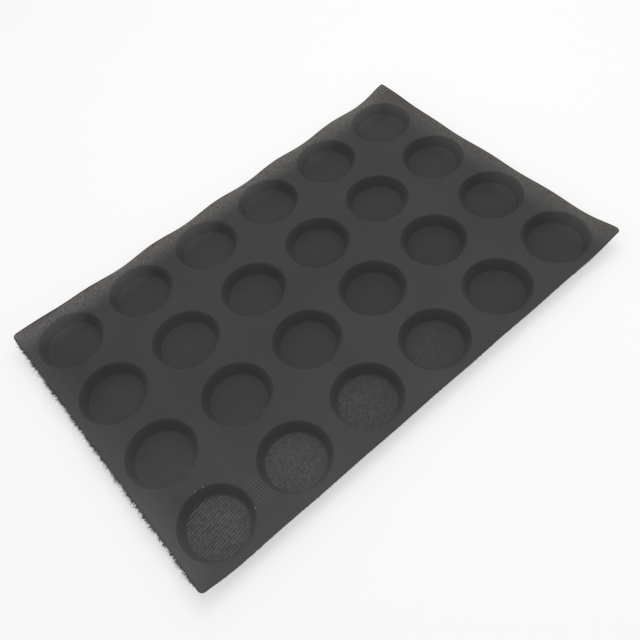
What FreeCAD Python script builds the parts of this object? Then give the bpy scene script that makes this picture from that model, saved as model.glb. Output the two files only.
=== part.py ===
import FreeCAD, Part
import math
import os
from FreeCAD import Vector

# Flexible baking mould: one thin sheet of coated cloth with round cups drawn down from it.
# Millimetres, +X along the long edge, +Y across the sheet, +Z up.
# The origin is on the surface that the mould lies on, under the middle of the cup pattern.

# Cup pattern
columns = 6
rows = 4
pitch = 100.0

# One cup, measured on its inside
rim_diameter = 80.0
cup_depth = 14.0
wall_draft = 24.0
heel_height = 6.0
heel_width = 4.0

# Sheet: its thickness, and its plain edge outside the outermost cups
wall = 1.0
margin = 10.0

# Flat ring left round the outermost cups before the brim starts to curl
brim_gap = 3.0

# How far the cut edge stands above the flat land: its mean, and the ruffle between the cups
far_lift = 1.7
far_ruffle = 1.9
near_lift = 2.2
near_ruffle = 0.6
left_lift = 1.0
right_lift = 2.8
side_ruffle = 0.9

# The corners curl up further, each over its own distance along the long and the short edge
far_left_curl = 8.7
far_left_long_reach = 85.0
far_left_short_reach = 35.0
far_right_curl = 9.5
far_right_long_reach = 25.0
far_right_short_reach = 60.0
near_right_curl = 9.5
near_right_long_reach = 30.0
near_right_short_reach = 29.0
near_left_curl = 9.0
near_left_long_reach = 22.0
near_left_short_reach = 25.0

# The sheet's corners are clipped round
corner_radius = 5.0

# Guide stations of the brim: per cup pitch along an edge, and round half a clipped corner
pitch_stations = 2
corner_stations = 1

# Places that follow from those sizes
rim_radius = rim_diameter / 2
heel_radius = rim_radius - (cup_depth - heel_height) * math.tan(math.radians(wall_draft))
floor_radius = heel_radius - heel_width
brim_radius = rim_radius + brim_gap
edge_offset = rim_radius + margin
last_cup_x = (columns - 1) * pitch / 2
last_cup_y = (rows - 1) * pitch / 2
land_z = wall + cup_depth
corner_straight = edge_offset - corner_radius
corner_middle = corner_straight + corner_radius * math.sqrt(0.5)

# Curl at each corner: its height, and its reach along the long and along the short edge
far_left = {"height": far_left_curl, "long": far_left_long_reach, "short": far_left_short_reach}
far_right = {"height": far_right_curl, "long": far_right_long_reach, "short": far_right_short_reach}
near_right = {"height": near_right_curl, "long": near_right_long_reach, "short": near_right_short_reach}
near_left = {"height": near_left_curl, "long": near_left_long_reach, "short": near_left_short_reach}

# How far a corner of the wall's outside stands off the same corner of its inside
mitre = wall * (1 - math.sin(math.radians(wall_draft))) / math.cos(math.radians(wall_draft))

# Corners of a cup's section as (radius, height above the land), from the rim down
inside_section = [(rim_radius, 0.0), (heel_radius, heel_height - cup_depth), (floor_radius, -cup_depth)]
outside_section = [(rim_radius + mitre, -wall), (heel_radius + mitre, -cup_depth - wall)]


def ring(centre, radius, height):
    return Part.Circle(centre + Vector(0, 0, height), Vector(0, 0, 1), radius).toShape()


def cup_centres():
    for row in range(rows):
        for column in range(columns):
            yield Vector(column * pitch - last_cup_x, row * pitch - last_cup_y, land_z)


def cup_faces(centre, section):
    """Drafted wall, heel and flat floor of one cup."""
    rings = [ring(centre, radius, height) for radius, height in section]
    faces = [Part.makeRuledSurface(upper, lower) for upper, lower in zip(rings, rings[1:])]
    faces.append(Part.Face(Part.Wire([rings[-1]])))
    return faces


def edge_lift(along, last_cup, lift, ruffle, start, end, edge):
    """Height of the cut edge above the land: down beside each cup, up between cups and at the corners."""
    corner = last_cup + corner_middle
    beside_cups = max(-last_cup, min(last_cup, along))
    height = lift - ruffle * math.cos(2 * math.pi * (beside_cups + last_cup) / pitch)
    for distance, curl in ((corner + along, start), (corner - along, end)):
        share = math.exp(-((distance / curl[edge]) ** 2))
        height += (curl["height"] - height) * share
    return height


def corner_cut():
    """Points of the cut edge from the middle of a clipped corner to the straight edge, from the cup's middle."""
    points = []
    for step in range(corner_stations + 1):
        angle = math.radians(45 + 45 * step / corner_stations)
        cosine, sine = math.cos(angle), math.sin(angle)
        points.append((corner_straight + corner_radius * cosine, corner_straight + corner_radius * sine))
    points.append((corner_straight - corner_radius, edge_offset))
    points.append((edge_offset * math.tan(math.radians(22.5)), edge_offset))
    return points


def brim_stations(last_cup):
    """Pairs of plan points (along, across) on the brim's inner line and on the cut edge."""
    pairs = []
    for along, across in corner_cut():
        share = brim_radius / math.hypot(along, across)
        pairs.append(((-last_cup - along * share, across * share), (-last_cup - along, across)))
    mirrored = [((-a, b), (-c, d)) for (a, b), (c, d) in reversed(pairs)]
    steps = round(2 * last_cup / pitch * pitch_stations)
    for step in range(steps + 1):
        along = 2 * last_cup * step / steps - last_cup
        pairs.append(((along, brim_radius), (along, edge_offset)))
    return pairs + mirrored


def brim_lines(turn, last_along, last_across, lift, ruffle, start, end, edge):
    """Inner line, middle line and cut edge along one side. turn is that side's direction from the far side."""
    spin = FreeCAD.Rotation(Vector(0, 0, 1), turn)
    stations = brim_stations(last_along)
    places = [0.0]
    for before, after in zip(stations, stations[1:]):
        places.append(places[-1] + math.dist(before[0], after[0]) + math.dist(before[1], after[1]))
    lines = []
    for share in (0.0, 0.5, 1.0):
        points = []
        for inner, outer in stations:
            height = edge_lift(outer[0], last_along, lift, ruffle, start, end, edge)
            along = inner[0] + (outer[0] - inner[0]) * share
            across = inner[1] + (outer[1] - inner[1]) * share
            flat = spin.multVec(Vector(along, last_across + across, 0))
            points.append(flat + Vector(0, 0, land_z + height * share**2))
        line = Part.BSplineCurve()
        line.interpolate(Points=points, Parameters=places)
        lines.append(line.toShape())
    return lines


def all_brims():
    return [
        brim_lines(0, last_cup_x, last_cup_y, far_lift, far_ruffle, far_left, far_right, "long"),
        brim_lines(-90, last_cup_y, last_cup_x, right_lift, side_ruffle, far_right, near_right, "short"),
        brim_lines(180, last_cup_x, last_cup_y, near_lift, near_ruffle, near_right, near_left, "long"),
        brim_lines(90, last_cup_y, last_cup_x, left_lift, side_ruffle, near_left, far_left, "short"),
    ]


def skin_faces(brims, section):
    """One face of the sheet: curled brim, flat land with a hole at each cup, and the cups."""
    faces = []
    for inner, middle, edge in brims:
        faces.append(Part.makeRuledSurface(inner, middle))
        faces.append(Part.makeRuledSurface(middle, edge))
    outline = Part.Wire(Part.__sortEdges__([lines[0] for lines in brims]))
    holes = []
    for centre in cup_centres():
        holes.append(Part.Wire([ring(centre, *section[0])]))
        faces.extend(cup_faces(centre, section))
    faces.append(Part.makeFace([outline, *holes], "Part::FaceMakerBullseye"))
    return faces


def lowered(edge):
    copy = edge.copy()
    copy.translate(Vector(0, 0, -wall))
    return copy


def mould():
    upper_brims = all_brims()
    lower_brims = [[lowered(line) for line in lines] for lines in upper_brims]
    faces = skin_faces(upper_brims, inside_section) + skin_faces(lower_brims, outside_section)
    for upper, lower in zip(upper_brims, lower_brims):
        faces.append(Part.makeRuledSurface(upper[-1], lower[-1]))
    skin = Part.makeCompound(faces)
    skin.sewShape()
    solid = Part.Solid(skin.Shells[0])
    if solid.Volume < 0:
        solid.reverse()
    return solid


os.makedirs("parts", exist_ok=True)
mould().exportStep("parts/cup_sheet.step")
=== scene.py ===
import math
import random

import bpy
from mathutils import Matrix, Vector
from mathutils.noise import noise as noise_value


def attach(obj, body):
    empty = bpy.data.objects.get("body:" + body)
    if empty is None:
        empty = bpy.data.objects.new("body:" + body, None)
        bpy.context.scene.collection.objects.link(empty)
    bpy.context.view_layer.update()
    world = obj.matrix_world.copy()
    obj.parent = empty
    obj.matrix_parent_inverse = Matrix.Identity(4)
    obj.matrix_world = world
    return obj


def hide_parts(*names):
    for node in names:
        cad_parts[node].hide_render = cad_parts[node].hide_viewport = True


# Looks of the flexible baking mould.
# Metres, in the same frame as the solid: +X along the long edge, +Z up.

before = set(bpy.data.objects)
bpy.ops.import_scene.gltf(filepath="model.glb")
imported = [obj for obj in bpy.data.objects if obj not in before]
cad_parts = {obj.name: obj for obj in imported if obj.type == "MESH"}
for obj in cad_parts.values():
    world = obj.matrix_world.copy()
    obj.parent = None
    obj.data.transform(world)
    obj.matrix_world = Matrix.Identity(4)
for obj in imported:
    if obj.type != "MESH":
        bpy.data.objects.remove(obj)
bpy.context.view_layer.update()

MM = 0.001

# The mould, as the solid has it
COLUMNS = 6
ROWS = 4
PITCH = 100.0 * MM
WALL = 1.0 * MM
CUP_DEPTH = 14.0 * MM
RIM_RADIUS = 40.0 * MM
BRIM_RADIUS = 43.0 * MM
CORNER_RADIUS = 5.0 * MM
HALF_X = COLUMNS * PITCH / 2
HALF_Y = ROWS * PITCH / 2
LAND_Z = WALL + CUP_DEPTH
LAST_CUP_X = HALF_X - PITCH / 2
LAST_CUP_Y = HALF_Y - PITCH / 2

# The far right corner is sharper than the others
SHARP_RADIUS = 0.6 * MM

# One cup: its wall runs straight from the rim to the rounded heel
WALL_DRAFT = math.radians(28.2)
HEEL_TANGENT = 1.8 * MM
SHOULDER_TANGENT = 0.7 * MM
BEAD_HEIGHT = 0.35 * MM
BEAD_WIDTH = 2.8 * MM

# Heights of the cut edge above the land on each side: mean and ruffle
FAR_EDGE = (1.7 * MM, 1.9 * MM)
NEAR_EDGE = (2.2 * MM, 0.6 * MM)
LEFT_EDGE = (1.0 * MM, 0.9 * MM)
RIGHT_EDGE = (2.8 * MM, 0.9 * MM)

# Curl at each corner: height, then reach along the long and along the short edge
FAR_LEFT = (8.7 * MM, 85.0 * MM, 35.0 * MM)
FAR_RIGHT = (9.5 * MM, 25.0 * MM, 60.0 * MM)
NEAR_RIGHT = (9.5 * MM, 30.0 * MM, 29.0 * MM)
NEAR_LEFT = (9.0 * MM, 22.0 * MM, 25.0 * MM)
ON_LONG, ON_SHORT = 1, 2

# Mesh: degrees between spokes, and rings on the floor, the wall and the land, closer near the rim
SPOKE_STEP = 5.0
FLOOR_RINGS = 3
HEEL_STEPS = 4
WALL_STEPS = 2
SHOULDER_STEPS = 3
LAND_RINGS = 8
RING_SPACING = 1.3

# The land isn't quite flat
LAND_WAVE = 0.35 * MM
WAVE_LENGTH = 70.0 * MM
WAVE_START = 6.0 * MM
WAVE_SLICE = 0.5

# Weave: the distances between its rows and columns, and how far they wander
ROW_PITCH = 2.72 * MM
COLUMN_PITCH = 2.4 * MM
WANDER = 0.4 * ROW_PITCH

# The bump: shares of rows, columns and grain in it, its strength and its height
LAND_ROWS = 0.20
CUP_ROWS = 0.70
COLUMN_WEIGHT = 0.30
GRAIN_WEIGHT = 0.3
BUMP_STRENGTH = 0.5
BUMP_HEIGHT = 0.2 * MM

# The cloth lies askew. Its rows rise along the long edge, less and wider apart towards the far side.
ROW_SPREAD = (0.80, -0.30)
ROW_RISE = (0.0962, -0.332)
COLUMN_TURN = math.radians(8.0)

# Only the lowest part of a cup shows the weave
WEAVE_TOP = -11.5 * MM
WEAVE_FULL = -13.5 * MM

# Along the far edge the coat is thin this far in, raggedly, and along the right one it is less so
THIN_REACH = 33.0 * MM
RAGGED = 12.0 * MM
RIGHT_THIN = 0.70

# Slits between yarns there: the light that passes at most, the yarn heights over which they close,
# and the shares of it that pass on a column and between two
MARGIN_OPEN = 0.12
SLIT_ROWS = (0.05, 0.85)
SLIT_COLUMNS = (0.10, 0.80)
SLIT_CROSSED = (0.5, 1.0)

# How strongly bare cloth shows there, painted brighter by light from the lit floor beneath the open weave: by
# the yarns' height, by speckle and by hue, as yarns or as a veil, then at the least and the most, and its
# share in the cups
YARN_ROWS = (0.15, 0.90)
YARN_COLUMNS = (0.35, 1.0)
YARN_SPECKLE = (0.25, 1.45)
YARN_HUE = (0.70, 1.20)
VEIL_SPECKLE = (0.42, 0.62)
MARGIN_BARE_AND_BACKLIT = (0.04, 1.20)
MARGIN_IN_CUPS = 0.60

# The dark line at the cut and the ochre beside it: how far in each is still full, and where it ends
CUT_REACH = (0.9 * MM, 1.5 * MM)
OCHRE_REACH = (0.8 * MM, 3.2 * MM)
OCHRE_WOBBLE = 3.0 * MM

# A face is all wall where its normal's Z is under the first, and none above the second.
# Walls keep this share of the weave, and get this much painted light by their slope.
STEEP_Z = (0.50, 0.85)
WALL_WEAVE = 0.12
WALL_PAINTED_LIGHT = 0.14

# The left edge is paler, more so in its near half, and so is the left half of the near edge
LEFT_PALE = 0.22
LOW_LEFT_Y = (0.0, -110.0 * MM)
LOW_LEFT_PALE = 2.0
NEAR_PALE_X = (0.0, -220.0 * MM)
NEAR_PALE = 0.6

# Painted shade: the coat is darker to the right of the middle
RIGHT_SHADE_X = (-120.0 * MM, 120.0 * MM)
RIGHT_SHADE_SHARE = 0.22

# Painted highlights on the floors' weave grow towards the near left corner: where they start and where they
# are full
GLINTS_X = (140.0 * MM, -240.0 * MM)
RIBBED_X = (-95.0 * MM, -250.0 * MM)
HIGHLIT_Y = (-50.0 * MM, -125.0 * MM)

# Painted shade on the cup floors: darkest round this place, fading out over this distance, by this much
FLOOR_SHADE_PLACE = (70.0 * MM, -150.0 * MM, 0.0)
FLOOR_SHADE_REACH = 330.0 * MM
FLOOR_SHADE_SHARE = 0.72

# Painted light on the coat grows towards the same corner
LIGHT_POOL_TURN = math.radians(70.0)
LIGHT_POOL_START = -20.0 * MM
LIGHT_POOL_END = 300.0 * MM
LIGHT_POOL_CLOUD = (0.6, 1.0)

# Columns stand out in one patch between two cups: its middle, its half size, and how softly it ends
PATCH_X = -197.5 * MM
PATCH_Y = -152.0 * MM
PATCH_HALF_X = 5.0 * MM
PATCH_HALF_Y = 13.0 * MM
PATCH_FADE = 7.0 * MM
PATCH_PITCH = 2.96 * MM
PATCH_WOBBLE_X = 9.0 * MM
PATCH_WOBBLE_Y = 14.0 * MM
STRAND_PALE = 0.45
STRAND_DARK = 0.60

# Bare cloth turns from brown to mauve towards the far left corner
MAUVE_X = (-120.0 * MM, -290.0 * MM)

# Ribs on the floors there: painted highlights as beads on them, and the gaps between them
BEAD_ROWS = (0.35, 1.0)
BEAD_COLUMNS = (0.35, 1.0)
BEAD_SPECKLE = (0.25, 0.85)
GAP_ROWS = (0.0, 0.45)
GAP_SHARE = 0.35

# How strongly the ochre and the cut line colour the cloth
OCHRE_SHARE = 0.45
CUT_SHARE = 0.9

# Small bare chips on the rim of the cup in the near left corner
CHIPS = (
    (-238.5 * MM, -111.1 * MM, LAND_Z),
    (-247.3 * MM, -109.5 * MM, LAND_Z),
    (-212.3 * MM, -165.0 * MM, LAND_Z),
)
CHIP_RADIUS = 1.0 * MM
CHIP_CORE = 0.4 * CHIP_RADIUS

# Strength of the world where it lights things, and how far the floor is lifted to white where it is seen
WORLD_LIGHT = 0.78
FLOOR_LIFT = 0.5

# The visible cut edge stays this far inside the solid's, and the frayed one this far
EDGE_INSET = 0.4 * MM
FRAYED_INSET = 0.2 * MM

# Fray comes in clumps, is short near the corners, and follows a share of the brim's slope
THREAD_POINTS = 4
CLUMP_LENGTH = 12.0 * MM
CLUMP_MEAN = 0.68
CLUMP_SWING = 0.32
CORNER_FADE = 25.0 * MM
CORNER_LEAST = 0.2
BRIM_SLOPE = 0.7

# For each side: how far stubs reach, how far fibres reach past them, the share of fibres, and the seed
LEFT_FRAY = (2.2 * MM, 2.9 * MM, 0.65, 3)
NEAR_FRAY = (0.5 * MM, 1.5 * MM, 0.60, 5)

# Stubs of coated yarn. Here and for the fibres a pair is the least and the most of a random draw.
STUB_WIDTH = (1.1 * MM, 2.4 * MM)
STUB_HEIGHT = 0.8 * MM
STUB_ROOT = 1.0 * MM
STUB_STEP = (0.55, 1.15)
STUB_LENGTH = (0.3, 1.9)
STUB_SWAY = (-0.5, 0.5)
STUB_SAG = 0.15
STUB_TAPER = (0.25, 0.7)
STUB_SIDES = 6
STUB_BARE = 0.3

# Loose fibres at each stub
FIBRES_A_STUB = 5
FIBRE_LEAST = 0.3
FIBRE_CLUMPED = 1.4
FIBRE_WIDTH = 0.34 * MM
FIBRE_ALONG = (-0.6, 0.6)
FIBRE_OUT = (-0.4, 0.6)
FIBRE_LENGTH = (0.2, 1.0)
FIBRE_SPREAD = (-0.8, 0.8)
FIBRE_BEND = 0.4
FIBRE_RISE = (-0.30, 0.12)
FIBRE_TAPER = 0.5
FIBRE_SIDES = 3
FIBRE_BARE = (1.0, 2.2)

# Noises: their scales in features a metre, and the levels between which their marks set in
NOISE_ROUGHNESS = 0.55
CLOUD_DETAIL = 4.0
FINE_DETAIL = 2.0
CLOUD_SCALE = 9.0
RAGGED_SCALE = 30.0
WANDER_SCALE = 55.0
OCHRE_SCALE = 90.0
PATCH_SCALE_X = 160.0
PATCH_SCALE_Y = 120.0
HUE_SCALE = 260.0
SPECKLE_SCALE = 420.0
GRAIN_SCALE = 700.0
BLOTCH_SCALE = 900.0
CLOUD_LEVELS = (0.3, 0.7)
HUE_LEVELS = (0.42, 0.58)
SPECKLE_LEVELS = (0.32, 0.72)
EDGE_LEVELS = (0.35, 0.65)
TIP_LEVELS = (0.55, 1.0)

# Colours of the coat
COAT_DARK = (0.0290, 0.0293, 0.0316)
COAT_LIGHT = (0.0350, 0.0353, 0.0374)
# Painted shade to the right of the middle
RIGHT_SHADE_COLOUR = (0.020, 0.020, 0.021)
# Painted shade on the cup floors
FLOOR_SHADE_COLOUR = (0.015, 0.015, 0.0158)
# Painted light towards the near left corner
PAINTED_LIGHT_COLOUR = (0.0480, 0.0475, 0.0487)
EDGE_COLOUR = (0.110, 0.106, 0.110)
# Painted light on the steep cup walls
WALL_LIGHT_COLOUR = (0.060, 0.058, 0.066)
CHIP_COLOUR = (0.165, 0.165, 0.165)

# Colours of the weave where it shows through
# The next two are painted highlights on the floors' weave
GLINT_COLOUR = (0.078, 0.078, 0.079)
CREST_HIGHLIGHT_COLOUR = (0.108, 0.108, 0.108)
GAP_COLOUR = (0.018, 0.018, 0.019)
STRAND_COLOUR = (0.105, 0.105, 0.107)
# These four are bare cloth, painted brighter by light from the lit floor beneath the open weave
CLOTH_BROWN = (0.192, 0.154, 0.121)
CLOTH_OLIVE = (0.160, 0.154, 0.121)
CLOTH_MAUVE = (0.176, 0.160, 0.162)
VEIL_COLOUR = (0.150, 0.142, 0.147)
OCHRE_COLOUR = (0.130, 0.090, 0.055)
CUT_COLOUR = (0.036, 0.027, 0.018)

# Colours of the cut edge and of the loose ends, from dark to bare glass
EDGE_DARK = (0.034, 0.031, 0.031)
EDGE_BARE = (0.120, 0.106, 0.102)
FRAY_ROOT = (0.014, 0.014, 0.015)
FRAY_TIP = (0.46, 0.44, 0.41)

# Finish of coat, cut edge and loose ends
COAT_ROUGHNESS = 0.58
COAT_SPECULAR = 0.20
COAT_SHEEN = 0.05
SHEEN_ROUGHNESS = 0.5
EDGE_ROUGHNESS = 0.75
FRAY_ROUGHNESS = 0.7

# Floor, camera and lamp
FLOOR_HALF = 6.0
FLOOR_DROP = 0.3 * MM
FLOOR_COLOUR = (0.9, 0.9, 0.9, 1)
WHITE = (1, 1, 1, 1)
CAMERA_PLACE = (-0.2592, -0.4551, 0.6912)
CAMERA_AIM = (-0.0230, -0.0410, LAND_Z)
CAMERA_ROLL = math.radians(-13.0)
CAMERA_LENS = 40.88
SENSOR_WIDTH = 36.0
KEY_PLACE = (0.45, 0.20, 1.55)
KEY_SIZE = 1.2
KEY_POWER = 8.5


def material(name):
    """A new material and its empty node tree."""
    made = bpy.data.materials.new(name)
    made.use_nodes = True
    tree = made.node_tree
    tree.nodes.clear()
    return made, tree


def surface(tree, shader, kind="ShaderNodeOutputMaterial"):
    """Sends a shader to the tree's output."""
    tree.links.new(shader, add(tree, kind).inputs["Surface"])


def feed(tree, value, socket):
    """Links an output to a socket, or sets the socket to a number or a colour."""
    if isinstance(value, bpy.types.NodeSocket):
        tree.links.new(value, socket)
    else:
        socket.default_value = value


def add(tree, kind, **settings):
    node = tree.nodes.new(kind)
    for key, value in settings.items():
        setattr(node, key, value)
    return node


def math_node(tree, operation, first, second=None):
    """A Math node. first and second are numbers or sockets."""
    node = add(tree, "ShaderNodeMath", operation=operation)
    feed(tree, first, node.inputs[0])
    if second is not None:
        feed(tree, second, node.inputs[1])
    return node.outputs[0]


def ramp(tree, value, start, stop, smooth=True):
    """0 below start, 1 above stop."""
    node = add(tree, "ShaderNodeMapRange", interpolation_type="SMOOTHSTEP" if smooth else "LINEAR")
    tree.links.new(value, node.inputs["Value"])
    node.inputs["From Min"].default_value = start
    node.inputs["From Max"].default_value = stop
    return node.outputs[0]


def mix(tree, kind, factor, first, second):
    """A Mix node of one kind: first where factor is 0, second where it is 1."""
    node = add(tree, "ShaderNodeMix", data_type=kind)
    sockets = [socket for socket in node.inputs if socket.enabled]
    for value, socket in zip((factor, first, second), sockets):
        feed(tree, value, socket)
    return next(socket for socket in node.outputs if socket.enabled)


def mix_colour(tree, factor, first, second):
    """Two colours mixed, each given as red, green and blue or as a socket."""
    ends = [(*end, 1.0) if isinstance(end, tuple) else end for end in (first, second)]
    return mix(tree, "RGBA", factor, *ends)


def blend_value(tree, factor, first, second):
    return mix(tree, "FLOAT", factor, first, second)


def noise(tree, place, scale, detail=3.0):
    node = add(tree, "ShaderNodeTexNoise")
    tree.links.new(place, node.inputs["Vector"])
    node.inputs["Scale"].default_value = scale
    node.inputs["Detail"].default_value = detail
    node.inputs["Roughness"].default_value = NOISE_ROUGHNESS
    return node.outputs["Fac"]


def wave(tree, along, pitch):
    """Height of evenly spaced yarns, 1 on a yarn and 0 midway between two."""
    turns = math_node(tree, "MULTIPLY", along, 2 * math.pi / pitch)
    return ramp(tree, math_node(tree, "COSINE", turns), -1.0, 1.0, smooth=False)


def invert(tree, value):
    return math_node(tree, "SUBTRACT", 1.0, value)


def product(tree, *values):
    """Sockets and numbers multiplied, a socket first."""
    result = values[0]
    for value in values[1:]:
        result = math_node(tree, "MULTIPLY", result, value)
    return result


def near_place(tree, place, centre, start, stop):
    """1 round a place, falling to 0."""
    node = add(tree, "ShaderNodeVectorMath", operation="DISTANCE")
    tree.links.new(place, node.inputs[0])
    node.inputs[1].default_value = centre
    return invert(tree, ramp(tree, node.outputs["Value"], start, stop))


def near_line(tree, value, centre, half, fade):
    """1 within half of a centre line, falling to 0."""
    away = math_node(tree, "ABSOLUTE", math_node(tree, "SUBTRACT", value, centre))
    return invert(tree, ramp(tree, away, half, half + fade))


def wobble(tree, place, scale, reach):
    """An irregular distance between -reach / 2 and reach / 2."""
    return math_node(tree, "MULTIPLY", math_node(tree, "SUBTRACT", noise(tree, place, scale), 0.5), reach)


def silicone_cloth():
    """Dark grey silicone on open woven glass cloth, thinner, more open and browner at the cut edge, with
    painted backlight in the far and right margins.
    """
    made, tree = material("silicone_cloth")
    place = add(tree, "ShaderNodeTexCoord").outputs["Object"]
    axes = add(tree, "ShaderNodeSeparateXYZ")
    tree.links.new(place, axes.inputs[0])
    x, y = axes.outputs["X"], axes.outputs["Y"]

    on_floor = add(tree, "ShaderNodeAttribute", attribute_name="on_floor").outputs["Fac"]

    # Where a place lies across the rows and across the columns of the weave
    wander = wobble(tree, place, WANDER_SCALE, WANDER)
    spread = math_node(tree, "ADD", math_node(tree, "MULTIPLY", y, ROW_SPREAD[1]), ROW_SPREAD[0])
    rise = math_node(tree, "ADD", math_node(tree, "MULTIPLY", y, ROW_RISE[1]), ROW_RISE[0])
    across_rows = math_node(tree, "SUBTRACT", product(tree, y, spread), product(tree, x, rise))
    across_columns = math_node(tree, "ADD", math_node(tree, "MULTIPLY", x, math.cos(COLUMN_TURN)),
                               math_node(tree, "MULTIPLY", y, math.sin(COLUMN_TURN)))
    across_columns = math_node(tree, "ADD", across_columns, wander)
    rows = wave(tree, math_node(tree, "ADD", across_rows, wander), ROW_PITCH)
    columns = wave(tree, across_columns, COLUMN_PITCH)

    # Where painted highlights show on the floors' weave, and the one patch whose columns stand out
    cloud = ramp(tree, noise(tree, place, CLOUD_SCALE, CLOUD_DETAIL), *CLOUD_LEVELS)
    highlit_floor = product(tree, ramp(tree, y, *HIGHLIT_Y), on_floor)
    glints = product(tree, ramp(tree, x, *GLINTS_X, smooth=False), highlit_floor)
    ribbed = product(tree, ramp(tree, x, *RIBBED_X), highlit_floor)
    ragged_x = math_node(tree, "ADD", x, wobble(tree, place, PATCH_SCALE_X, PATCH_WOBBLE_X))
    ragged_y = math_node(tree, "ADD", y, wobble(tree, place, PATCH_SCALE_Y, PATCH_WOBBLE_Y))
    patch = product(tree, near_line(tree, ragged_x, PATCH_X, PATCH_HALF_X, PATCH_FADE),
                    near_line(tree, ragged_y, PATCH_Y, PATCH_HALF_Y, PATCH_FADE))

    # The coat thins out towards the far and right edges, and is paler along the left one
    from_right = math_node(tree, "SUBTRACT", HALF_X, x)
    from_far = math_node(tree, "SUBTRACT", HALF_Y, y)
    from_left = math_node(tree, "ADD", x, HALF_X)
    from_near = math_node(tree, "ADD", y, HALF_Y)
    from_thin = math_node(tree, "MINIMUM", from_right, from_far)
    ragged = wobble(tree, place, RAGGED_SCALE, RAGGED)
    thin_far, thin_right, thin_left, thin_near = [
        ramp(tree, math_node(tree, "ADD", distance, ragged), THIN_REACH, 0.0, smooth=False)
        for distance in (from_far, from_right, from_left, from_near)
    ]
    thin = math_node(tree, "MAXIMUM", thin_far, math_node(tree, "MULTIPLY", thin_right, RIGHT_THIN))

    # Cup walls, known by their slope, are stretched smooth
    geometry = add(tree, "ShaderNodeNewGeometry")
    normal = add(tree, "ShaderNodeSeparateXYZ")
    tree.links.new(geometry.outputs["Normal"], normal.inputs[0])
    steep = invert(tree, ramp(tree, normal.outputs["Z"], *STEEP_Z))
    smoothed = blend_value(tree, steep, 1.0, WALL_WEAVE)

    # Rows stand highest on the cup floors and in the thin margin, columns alike everywhere
    clear = math_node(tree, "MAXIMUM", on_floor, thin)
    row_weight = product(tree, blend_value(tree, clear, LAND_ROWS, CUP_ROWS), smoothed)
    weave = math_node(tree, "ADD", product(tree, rows, row_weight), product(tree, columns, COLUMN_WEIGHT))
    grain = noise(tree, place, GRAIN_SCALE)
    height = math_node(tree, "ADD", weave, product(tree, grain, GRAIN_WEIGHT))

    # Open slits between the rows, crossed by the columns
    cut_line = invert(tree, ramp(tree, from_thin, *CUT_REACH))
    slit = invert(tree, ramp(tree, rows, *SLIT_ROWS))
    crossed = blend_value(tree, invert(tree, ramp(tree, columns, *SLIT_COLUMNS)), *SLIT_CROSSED)
    hole = product(tree, slit, crossed, thin, MARGIN_OPEN, invert(tree, cut_line), smoothed,
                   invert(tree, on_floor))
    alpha = product(tree, invert(tree, hole), invert(tree, geometry.outputs["Backfacing"]))

    # Broad clouds; painted shade to the right and on the cup floors; painted light growing towards the near
    # left corner
    base = mix_colour(tree, cloud, COAT_DARK, COAT_LIGHT)
    # Painted shade, darker to the right of the middle
    dimmed = mix_colour(tree, product(tree, ramp(tree, x, *RIGHT_SHADE_X), RIGHT_SHADE_SHARE), base, RIGHT_SHADE_COLOUR)
    # Painted shade on the cup floors, darkest round one place
    shade = product(tree, near_place(tree, place, FLOOR_SHADE_PLACE, 0.0, FLOOR_SHADE_REACH), on_floor, FLOOR_SHADE_SHARE)
    darkened = mix_colour(tree, shade, dimmed, FLOOR_SHADE_COLOUR)
    # Painted light, growing towards the near left corner
    towards = math_node(tree, "ADD", math_node(tree, "MULTIPLY", x, -math.cos(LIGHT_POOL_TURN)),
                        math_node(tree, "MULTIPLY", y, -math.sin(LIGHT_POOL_TURN)))
    painted_light = product(tree, ramp(tree, towards, LIGHT_POOL_START, LIGHT_POOL_END), blend_value(tree, cloud, *LIGHT_POOL_CLOUD))
    lit_towards_corner = mix_colour(tree, painted_light, darkened, PAINTED_LIGHT_COLOUR)
    low_left = blend_value(tree, ramp(tree, y, *LOW_LEFT_Y), 1.0, LOW_LEFT_PALE)
    near_left = product(tree, thin_near, ramp(tree, x, *NEAR_PALE_X), NEAR_PALE)
    edge_pale = math_node(tree, "MAXIMUM", product(tree, thin_left, low_left), near_left)
    pale = mix_colour(tree, product(tree, edge_pale, LEFT_PALE), lit_towards_corner, EDGE_COLOUR)
    # Painted light: steep cup walls lighter by their slope
    walls = mix_colour(tree, product(tree, steep, WALL_PAINTED_LIGHT), pale, WALL_LIGHT_COLOUR)

    # Floors: painted highlights as speckle, and towards the corner as fine ribs of beads, with darker lines
    # between them
    speckle = ramp(tree, noise(tree, place, SPECKLE_SCALE, FINE_DETAIL), *SPECKLE_LEVELS)
    glinted = mix_colour(tree, product(tree, glints, speckle), walls, GLINT_COLOUR)
    beads = product(tree, ramp(tree, rows, *BEAD_ROWS), blend_value(tree, columns, *BEAD_COLUMNS))
    bead_highlights = product(tree, ribbed, beads, blend_value(tree, speckle, *BEAD_SPECKLE))
    highlit_crests = mix_colour(tree, bead_highlights, glinted, CREST_HIGHLIGHT_COLOUR)
    gaps = product(tree, ribbed, invert(tree, ramp(tree, rows, *GAP_ROWS)), GAP_SHARE)
    floors = mix_colour(tree, gaps, highlit_crests, GAP_COLOUR)

    # Patch of pale and dark columns
    strands = wave(tree, across_columns, PATCH_PITCH)
    pale_lines = mix_colour(tree, product(tree, patch, strands, STRAND_PALE), floors, STRAND_COLOUR)
    between = product(tree, patch, invert(tree, strands), STRAND_DARK)
    lines = mix_colour(tree, between, pale_lines, GAP_COLOUR)

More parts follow.
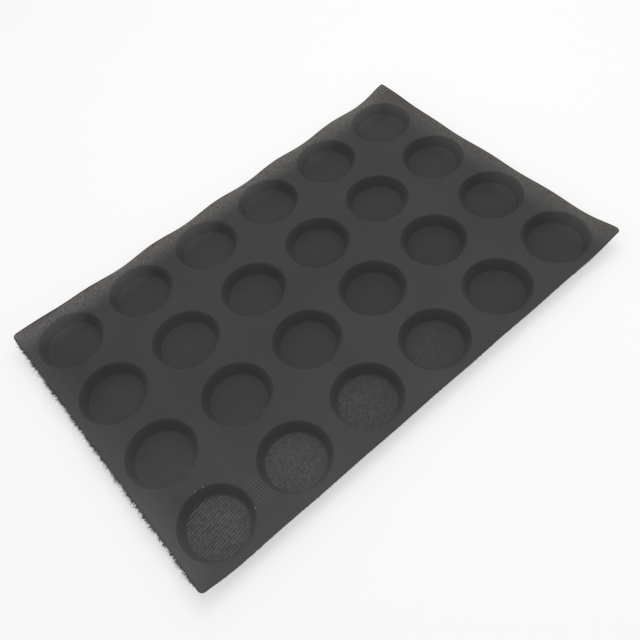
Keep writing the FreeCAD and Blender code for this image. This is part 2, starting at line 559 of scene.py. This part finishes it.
    # Thin margin: bare cloth shows through in warm greys, painted brighter by light from the lit floor
    # beneath, as yarns on the land and as a veil in the cups
    hue = ramp(tree, noise(tree, place, HUE_SCALE, FINE_DETAIL), *HUE_LEVELS)
    warm = mix_colour(tree, hue, CLOTH_BROWN, CLOTH_OLIVE)
    glass = mix_colour(tree, ramp(tree, x, *MAUVE_X), warm, CLOTH_MAUVE)
    yarns = product(tree, ramp(tree, rows, *YARN_ROWS), blend_value(tree, columns, *YARN_COLUMNS),
                    blend_value(tree, speckle, *YARN_SPECKLE), blend_value(tree, hue, *YARN_HUE))
    calm = product(tree, smoothed, blend_value(tree, on_floor, 1.0, WALL_WEAVE))
    soft = product(tree, invert(tree, calm), blend_value(tree, speckle, *VEIL_SPECKLE))
    even = math_node(tree, "ADD", product(tree, yarns, calm), soft)
    # Painted backlight: bare cloth shown brighter than its own colour
    bare_and_backlit = product(tree, thin, blend_value(tree, even, *MARGIN_BARE_AND_BACKLIT),
                    blend_value(tree, on_floor, 1.0, MARGIN_IN_CUPS))
    veiled = mix_colour(tree, invert(tree, calm), glass, VEIL_COLOUR)
    margin = mix_colour(tree, bare_and_backlit, lines, veiled)

    # Ochre beside the cut, the dark cut line, and the chips
    from_cut = math_node(tree, "ADD", from_thin, wobble(tree, place, OCHRE_SCALE, OCHRE_WOBBLE))
    ochre = invert(tree, ramp(tree, from_cut, *OCHRE_REACH))
    burnt = mix_colour(tree, product(tree, ochre, OCHRE_SHARE), margin, OCHRE_COLOUR)
    colour = mix_colour(tree, product(tree, cut_line, CUT_SHARE), burnt, CUT_COLOUR)
    for centre in CHIPS:
        chip = near_place(tree, place, centre, CHIP_CORE, CHIP_RADIUS)
        colour = mix_colour(tree, chip, colour, CHIP_COLOUR)

    bump = add(tree, "ShaderNodeBump")
    bump.inputs["Strength"].default_value = BUMP_STRENGTH
    bump.inputs["Distance"].default_value = BUMP_HEIGHT
    tree.links.new(height, bump.inputs["Height"])

    shader = add(tree, "ShaderNodeBsdfPrincipled")
    tree.links.new(colour, shader.inputs["Base Color"])
    shader.inputs["Roughness"].default_value = COAT_ROUGHNESS
    shader.inputs["Specular IOR Level"].default_value = COAT_SPECULAR
    shader.inputs["Sheen Weight"].default_value = COAT_SHEEN
    shader.inputs["Sheen Roughness"].default_value = SHEEN_ROUGHNESS
    tree.links.new(bump.outputs[0], shader.inputs["Normal"])
    tree.links.new(alpha, shader.inputs["Alpha"])
    surface(tree, shader.outputs[0])
    return made


def bare_yarn():
    """The cut edge itself: dark coat with grey glass ends in it, some of them bare."""
    made, tree = material("bare_yarn")
    place = add(tree, "ShaderNodeTexCoord").outputs["Object"]
    tint = ramp(tree, noise(tree, place, GRAIN_SCALE), *EDGE_LEVELS)
    colour = mix_colour(tree, tint, EDGE_DARK, EDGE_BARE)
    shader = add(tree, "ShaderNodeBsdfPrincipled")
    tree.links.new(colour, shader.inputs["Base Color"])
    shader.inputs["Roughness"].default_value = EDGE_ROUGHNESS
    surface(tree, shader.outputs[0])
    return made


def frayed_yarn():
    """Loose ends: dark silicone at the root, bare grey glass at the tip."""
    made, tree = material("frayed_yarn")
    place = add(tree, "ShaderNodeTexCoord").outputs["Object"]
    tip = add(tree, "ShaderNodeAttribute", attribute_name="tip").outputs["Fac"]
    blotch = math_node(tree, "SUBTRACT", noise(tree, place, BLOTCH_SCALE), 0.5)
    bare = ramp(tree, math_node(tree, "ADD", tip, blotch), *TIP_LEVELS)
    colour = mix_colour(tree, bare, FRAY_ROOT, FRAY_TIP)
    shader = add(tree, "ShaderNodeBsdfPrincipled")
    tree.links.new(colour, shader.inputs["Base Color"])
    shader.inputs["Roughness"].default_value = FRAY_ROUGHNESS
    surface(tree, shader.outputs[0])
    return made


def cup_profile():
    """(radius, height above the land) from the middle of the floor out to the land beside the rim."""
    points = []
    heel_corner = RIM_RADIUS - CUP_DEPTH * math.tan(WALL_DRAFT)
    floor_end = heel_corner - HEEL_TANGENT
    for step in range(FLOOR_RINGS):
        points.append((floor_end * (step + 1) / (FLOOR_RINGS + 1), -CUP_DEPTH))
    wall = Vector((math.sin(WALL_DRAFT), math.cos(WALL_DRAFT)))
    heel = rounded(Vector((heel_corner, -CUP_DEPTH)), Vector((1, 0)), wall, HEEL_TANGENT, HEEL_STEPS)
    shoulder = rounded(Vector((RIM_RADIUS, 0)), wall, Vector((1, 0)), SHOULDER_TANGENT, SHOULDER_STEPS)
    points.extend(heel)
    for step in range(1, WALL_STEPS + 1):
        share = step / (WALL_STEPS + 1)
        points.append(tuple(Vector(heel[-1]).lerp(Vector(shoulder[0]), share)))
    points.extend(shoulder)
    return points


def rounded(corner, arriving, leaving, tangent, steps):
    """Points of the arc that rounds a corner of the section."""
    start = corner - arriving * tangent
    stop = corner + leaving * tangent
    points = []
    for step in range(steps + 1):
        share = step / steps
        points.append(tuple(start.lerp(corner, share).lerp(corner.lerp(stop, share), share)))
    return points


def edge_lift(along, last_cup, side, start, end, edge):
    """Height of the cut edge above the land at a place along one side, as in the solid."""
    corner = last_cup + PITCH / 2 - CORNER_RADIUS * (1 - math.sqrt(0.5))
    beside_cups = max(-last_cup, min(last_cup, along))
    lift, ruffle = side
    height = lift - ruffle * math.cos(2 * math.pi * (beside_cups + last_cup) / PITCH)
    for distance, curl in ((corner + along, start), (corner - along, end)):
        share = math.exp(-((max(distance, 0.0) / curl[edge]) ** 2))
        height += (curl[0] - height) * share
    return height


def brim_height(x, y):
    """Curl of the brim above the land."""
    past_x = abs(x) - LAST_CUP_X
    past_y = abs(y) - LAST_CUP_Y
    if max(past_x, past_y) <= 0:
        return 0.0
    out_x, out_y = max(past_x, 0.0), max(past_y, 0.0)
    distance = math.hypot(out_x, out_y)
    if distance <= BRIM_RADIUS:
        return 0.0
    reach = PITCH / 2 * distance / max(out_x, out_y)
    share = (distance - BRIM_RADIUS) / (reach - BRIM_RADIUS)
    stretch = reach / distance
    edge_x = math.copysign(LAST_CUP_X + out_x * stretch, x) if past_x > 0 else x
    edge_y = math.copysign(LAST_CUP_Y + out_y * stretch, y) if past_y > 0 else y
    if past_y >= past_x and y > 0:
        lift = edge_lift(edge_x, LAST_CUP_X, FAR_EDGE, FAR_LEFT, FAR_RIGHT, ON_LONG)
    elif past_y >= past_x:
        lift = edge_lift(edge_x, LAST_CUP_X, NEAR_EDGE, NEAR_LEFT, NEAR_RIGHT, ON_LONG)
    elif x > 0:
        lift = edge_lift(edge_y, LAST_CUP_Y, RIGHT_EDGE, NEAR_RIGHT, FAR_RIGHT, ON_SHORT)
    else:
        lift = edge_lift(edge_y, LAST_CUP_Y, LEFT_EDGE, NEAR_LEFT, FAR_LEFT, ON_SHORT)
    return lift * share**2


def drawn_in(value, half, gap):
    """Draws the outermost strip of the sheet in by gap at its edge."""
    start = half - PITCH / 2 + BRIM_RADIUS
    if abs(value) <= start:
        return value
    share = (half - gap - start) / (half - start)
    return math.copysign(start + (abs(value) - start) * share, value)


def trimmed(x, y):
    """A plan point after the corners are clipped round and the edge is drawn in."""
    radius = SHARP_RADIUS if x > 0 and y > 0 else CORNER_RADIUS
    past_x = abs(x) - HALF_X + radius
    past_y = abs(y) - HALF_Y + radius
    if min(past_x, past_y) > 0:
        share = max(past_x, past_y) / math.hypot(past_x, past_y)
        x = math.copysign(HALF_X - radius + past_x * share, x)
        y = math.copysign(HALF_Y - radius + past_y * share, y)
    gap = FRAYED_INSET if x < 0 else EDGE_INSET
    return drawn_in(x, HALF_X, gap), drawn_in(y, HALF_Y, EDGE_INSET)


def land_wave(x, y):
    place = Vector((x / WAVE_LENGTH, y / WAVE_LENGTH, WAVE_SLICE))
    return LAND_WAVE * noise_value(place)


def spoke_angles():
    """Even spokes, with more of them towards the corners of the square cell."""
    angles = [SPOKE_STEP * step for step in range(round(360 / SPOKE_STEP))]
    for corner in (45, 135, 225, 315):
        angles += [corner - SPOKE_STEP / 2, corner + SPOKE_STEP / 2]
    return [math.radians(angle) for angle in sorted(angles)]


def sheet_mesh():
    """The upper skin of the whole mould, one square cell of rings and spokes for each cup."""
    profile = cup_profile()
    angles = spoke_angles()
    places = {}
    points = []
    floorness = []
    faces = []

    def vertex(x, y, z, on_floor):
        key = (round(x / MM, 3), round(y / MM, 3))
        if key not in places:
            places[key] = len(points)
            points.append((*trimmed(x, y), z))
            floorness.append(on_floor)
        return places[key]

    for row in range(ROWS):
        for column in range(COLUMNS):
            centre_x = column * PITCH - LAST_CUP_X
            centre_y = row * PITCH - LAST_CUP_Y
            rings = []
            for radius, height in profile:
                ring = []
                on_floor = max(0.0, min(1.0, (WEAVE_TOP - height) / (WEAVE_TOP - WEAVE_FULL)))
                for angle in angles:
                    x, y = centre_x + radius * math.cos(angle), centre_y + radius * math.sin(angle)
                    ring.append(vertex(x, y, LAND_Z + height, on_floor))
                rings.append(ring)
            land_start = profile[-1][0]
            for step in range(1, LAND_RINGS + 1):
                ring = []
                for angle in angles:
                    cosine, sine = math.cos(angle), math.sin(angle)
                    reach = PITCH / 2 / max(abs(cosine), abs(sine))
                    radius = land_start + (reach - land_start) * (step / LAND_RINGS) ** RING_SPACING
                    x, y = centre_x + radius * cosine, centre_y + radius * sine
                    bead = 1 - abs(radius - land_start - BEAD_WIDTH / 2) / (BEAD_WIDTH / 2)
                    sway = land_wave(x, y) * min(1.0, (radius - land_start) / WAVE_START)
                    z = LAND_Z + BEAD_HEIGHT * max(bead, 0.0) + sway + brim_height(x, y)
                    ring.append(vertex(x, y, z, 0.0))
                rings.append(ring)
            middle = vertex(centre_x, centre_y, LAND_Z - CUP_DEPTH, 1.0)
            for spoke in range(len(angles)):
                faces.append((middle, rings[0][spoke], rings[0][(spoke + 1) % len(angles)]))
            for inner, outer in zip(rings, rings[1:]):
                for spoke in range(len(angles)):
                    after = (spoke + 1) % len(angles)
                    faces.append((inner[spoke], outer[spoke], outer[after], inner[after]))
    mesh = bpy.data.meshes.new("mould_sheet")
    mesh.from_pydata(points, [], faces)
    attribute = mesh.attributes.new("on_floor", "FLOAT", "POINT")
    attribute.data.foreach_set("value", floorness)
    mesh.update()
    return mesh


def edge_place(side, along):
    """A point midway through the cut edge, and the way its brim points outward."""
    plan, outward = ((-HALF_X, along), (-1, 0)) if side == "left" else ((along, -HALF_Y), (0, -1))
    inner = (plan[0] - outward[0] * MM, plan[1] - outward[1] * MM)
    slope = (brim_height(*plan) - brim_height(*inner)) / MM
    height = LAND_Z + brim_height(*plan) + land_wave(*plan) - WALL / 2
    return Vector((*trimmed(*plan), height)), Vector((*outward, BRIM_SLOPE * slope)).normalized()


class Threads:
    """Tapered threads collected into one mesh."""

    def __init__(self):
        self.points = []
        self.faces = []
        self.tips = []

    def add(self, line, width, height, taper, sides, tip_share):
        """A thread along line, flattened across, closing towards its end. tip_share: how bare its end is."""
        along = (line[-1] - line[0]).normalized()
        across = along.cross(Vector((0, 0, 1))).normalized()
        upward = across.cross(along)
        first = len(self.points)
        for step, centre in enumerate(line):
            share = step / (len(line) - 1)
            size = 1 + (taper - 1) * share
            for side in range(sides):
                angle = 2 * math.pi * side / sides
                sideways = across * (width / 2 * size * math.cos(angle))
                self.points.append(centre + (sideways + upward * (height / 2 * size * math.sin(angle))))
                self.tips.append(share * tip_share)
        for step in range(len(line) - 1):
            for side in range(sides):
                after = (side + 1) % sides
                start = first + step * sides
                self.faces.append((start + side, start + after, start + sides + after, start + sides + side))
        self.faces.append(tuple(reversed(range(first, first + sides))))
        self.faces.append(tuple(range(len(self.points) - sides, len(self.points))))

    def build(self, name):
        mesh = bpy.data.meshes.new(name)
        mesh.from_pydata(self.points, [], self.faces)
        attribute = mesh.attributes.new("tip", "FLOAT", "POINT")
        attribute.data.foreach_set("value", self.tips)
        mesh.update()
        return mesh


def make_fray(side, half_length, stub_reach, fibre_reach, fibre_share, seed):
    """The frayed cut edge of one side: uneven stubs of coated yarn, and loose glass fibres between them."""
    draw = random.Random(seed)
    threads = Threads()
    along = -half_length
    while along < half_length:
        point, outward = edge_place(side, along)
        sideways = outward.cross(Vector((0, 0, 1))).normalized()
        clump = CLUMP_MEAN + CLUMP_SWING * noise_value(Vector((along / CLUMP_LENGTH, seed, 0.0)))
        clump *= min(1.0, CORNER_LEAST + (half_length - abs(along)) / CORNER_FADE)
        breadth = draw.uniform(*STUB_WIDTH)
        reach = stub_reach * clump * draw.uniform(*STUB_LENGTH)
        sway = draw.uniform(*STUB_SWAY)
        line = []
        for step in range(THREAD_POINTS):
            share = step / (THREAD_POINTS - 1)
            place = point + outward * (share * (reach + STUB_ROOT) - STUB_ROOT)
            sag = Vector((0, 0, STUB_SAG * reach * share**2))
            line.append(place + sideways * (sway * reach * share**2) - sag)
        threads.add(line, breadth, STUB_HEIGHT, draw.uniform(*STUB_TAPER), STUB_SIDES, STUB_BARE)
        for _ in range(FIBRES_A_STUB):
            if draw.random() > fibre_share * (FIBRE_LEAST + FIBRE_CLUMPED * clump):
                continue
            root = point + sideways * draw.uniform(*FIBRE_ALONG) * breadth
            root += outward * draw.uniform(*FIBRE_OUT) * reach
            reach_out = reach + fibre_reach * min(1.0, 2 * clump) * draw.uniform(*FIBRE_LENGTH)
            spread = draw.uniform(*FIBRE_SPREAD)
            rise = draw.uniform(*FIBRE_RISE)
            strand = []
            for step in range(THREAD_POINTS):
                share = step / (THREAD_POINTS - 1)
                bend = spread * (share + FIBRE_BEND * share**2)
                way = outward * share + sideways * bend + Vector((0, 0, rise * share))
                strand.append(root + way * reach_out)
            bareness = draw.uniform(*FIBRE_BARE)
            threads.add(strand, FIBRE_WIDTH, FIBRE_WIDTH, FIBRE_TAPER, FIBRE_SIDES, bareness)
        along += breadth * draw.uniform(*STUB_STEP)
    fray = link("fray_" + side, threads.build("fray_" + side))
    fray.data.materials.append(frayed_yarn())
    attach(fray, "root")


def link(name, mesh):
    made = bpy.data.objects.new(name, mesh)
    bpy.context.scene.collection.objects.link(made)
    return made


def apply_modifiers(piece):
    graph = bpy.context.evaluated_depsgraph_get()
    mesh = bpy.data.meshes.new_from_object(piece.evaluated_get(graph))
    piece.modifiers.clear()
    piece.data = mesh


def make_sheet():
    sheet = link("mould_sheet", sheet_mesh())
    sheet.data.materials.append(silicone_cloth())
    sheet.data.materials.append(bare_yarn())
    for face in sheet.data.polygons:
        face.use_smooth = True
    thickness = sheet.modifiers.new("thickness", "SOLIDIFY")
    thickness.thickness = WALL
    thickness.offset = -1
    thickness.use_even_offset = True
    thickness.material_offset_rim = 1
    apply_modifiers(sheet)
    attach(sheet, "root")
    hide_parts("cup_sheet")


def seen_directly(tree):
    """1 for rays that show a background: from the camera, off gloss or through glass."""
    path = add(tree, "ShaderNodeLightPath")
    seen = math_node(tree, "MAXIMUM", path.outputs["Is Camera Ray"], path.outputs["Is Glossy Ray"])
    return math_node(tree, "MAXIMUM", seen, path.outputs["Is Transmission Ray"])


def make_floor():
    """Pale floor, lifted towards white where it is seen, so that its shadow stays faint."""
    mesh = bpy.data.meshes.new("floor")
    signs = ((-1, -1), (1, -1), (1, 1), (-1, 1))
    corners = [(FLOOR_HALF * sign_x, FLOOR_HALF * sign_y, -FLOOR_DROP) for sign_x, sign_y in signs]
    mesh.from_pydata(corners, [], [(0, 1, 2, 3)])
    floor = link("floor", mesh)
    made, tree = material("floor")
    shader = add(tree, "ShaderNodeBsdfDiffuse")
    shader.inputs["Color"].default_value = FLOOR_COLOUR
    white = add(tree, "ShaderNodeEmission")
    white.inputs["Color"].default_value = WHITE
    white.inputs["Strength"].default_value = 1.0
    both = add(tree, "ShaderNodeMixShader")
    tree.links.new(math_node(tree, "MULTIPLY", seen_directly(tree), FLOOR_LIFT), both.inputs[0])
    tree.links.new(shader.outputs[0], both.inputs[1])
    tree.links.new(white.outputs[0], both.inputs[2])
    surface(tree, both.outputs[0])
    floor.data.materials.append(made)


def make_world():
    """Even studio white: dimmer as a light than as a background."""
    world = bpy.data.worlds.new("studio")
    bpy.context.scene.world = world
    world.use_nodes = True
    tree = world.node_tree
    tree.nodes.clear()
    background = add(tree, "ShaderNodeBackground")
    background.inputs["Color"].default_value = WHITE
    strength = blend_value(tree, seen_directly(tree), WORLD_LIGHT, 1.0)
    tree.links.new(strength, background.inputs["Strength"])
    surface(tree, background.outputs[0], "ShaderNodeOutputWorld")


def area_light(name, place, aim, size, power):
    data = bpy.data.lights.new(name, "AREA")
    data.shape = "SQUARE"
    data.size = size
    data.energy = power
    lamp = bpy.data.objects.new(name, data)
    bpy.context.scene.collection.objects.link(lamp)
    lamp.location = place
    lamp.rotation_euler = (Vector(aim) - Vector(place)).to_track_quat("-Z", "Y").to_euler()


def make_camera():
    place = Vector(CAMERA_PLACE)
    look = Vector(CAMERA_AIM) - place
    data = bpy.data.cameras.new("camera")
    data.sensor_width = SENSOR_WIDTH
    data.lens = CAMERA_LENS
    camera = bpy.data.objects.new("camera", data)
    bpy.context.scene.collection.objects.link(camera)
    turn = look.to_track_quat("-Z", "Y").to_matrix() @ Matrix.Rotation(CAMERA_ROLL, 3, "Z")
    camera.location = place
    camera.rotation_euler = turn.to_euler()
    bpy.context.scene.camera = camera


make_camera()
make_sheet()
make_fray("left", HALF_Y - CORNER_RADIUS, *LEFT_FRAY)
make_fray("near", HALF_X - CORNER_RADIUS, *NEAR_FRAY)
make_floor()
make_world()
area_light("key", KEY_PLACE, (0, 0, 0), KEY_SIZE, KEY_POWER)

bpy.context.scene.view_settings.view_transform = "Standard"
